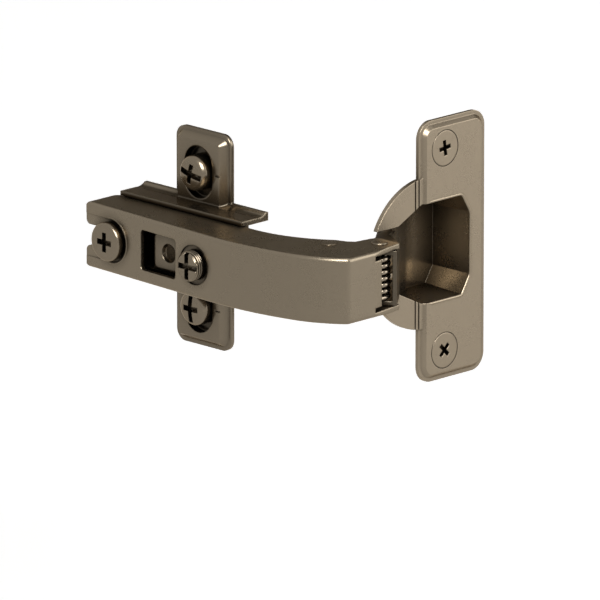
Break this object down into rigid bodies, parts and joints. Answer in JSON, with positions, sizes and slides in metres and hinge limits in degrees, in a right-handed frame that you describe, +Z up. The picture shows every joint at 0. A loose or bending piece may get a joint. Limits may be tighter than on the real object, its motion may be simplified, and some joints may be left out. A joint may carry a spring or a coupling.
{
  "type": "concealed hinge",
  "caption": "Concealed corner door hinge: cross-shaped mounting plate, curved channel arm with two adjusting screws, sprung links and a drawn cup with a screw wing.",
  "frame": {"origin": "midway between the two plate screws, in the plane of the mounting plate's back face", "axes": "+X along the arm from the mounting plate to the cup; +Y into the panel that the plate is screwed to; +Z up, along the hinge's pivots"},
  "size_m": [0.0786, 0.0665, 0.062],
  "materials": {
    "stamped_steel": "satin",
    "screw_steel": "satin",
    "pin_steel": "satin",
    "spring_steel": "satin"
  },
  "bodies": {
    "plate": {"mounting_plate": "stamped_steel", "upper_plate_screw": "screw_steel", "lower_plate_screw": "screw_steel"},
    "clamp": {"clamp_screw": "screw_steel"},
    "arm": {"hinge_arm": "stamped_steel", "spring_pin": "pin_steel", "rear_link_pin": "pin_steel", "closing_spring": "spring_steel"},
    "adjuster": {"side_adjusting_screw": "screw_steel"},
    "outer_link": {"outer_link": "stamped_steel"},
    "inner_link": {"inner_link": "stamped_steel", "inner_cup_axle": "pin_steel"},
    "cup": {"hinge_cup": "stamped_steel", "outer_cup_axle": "pin_steel", "upper_cup_screw": "screw_steel", "lower_cup_screw": "screw_steel"}
  },
  "joints": [
    {"name": "arm_depth", "type": "slide", "parent": "plate", "child": "arm", "axis": [1, 0, 0], "range_m": [0, 0.003]},
    {"name": "clamp_turn", "type": "hinge", "parent": "plate", "child": "clamp", "pos_m": [-0.0134, -0.015, 0], "axis": [0, 1, 0], "range_deg": [-180, 0]},
    {"name": "side_turn", "type": "hinge", "parent": "arm", "child": "adjuster", "pos_m": [0.0152, -0.018, 0], "axis": [0, 1, 0], "range_deg": [-180, 180]},
    {"name": "outer_link_pivot", "type": "hinge", "parent": "arm", "child": "outer_link", "pos_m": [0.0519, 0.0039, 0], "axis": [0, 0, 1], "range_deg": [0, 53.8], "deforming": ["closing_spring"]},
    {"name": "inner_link_pivot", "type": "hinge", "parent": "arm", "child": "inner_link", "pos_m": [0.0442, -0.0046, 0], "axis": [0, 0, 1], "range_deg": [0, 58.2]},
    {"name": "cup_pivot", "type": "hinge", "parent": "outer_link", "child": "cup", "pos_m": [0.04172, 0.0161, 0], "axis": [0, 0, 1], "range_deg": [-144, 0]}
  ],
  "couplings": [
    {"joint": "inner_link_pivot", "follows": "outer_link_pivot", "ratio": 1.08},
    {"joint": "cup_pivot", "follows": "outer_link_pivot", "ratio": -2.673}
  ]
}
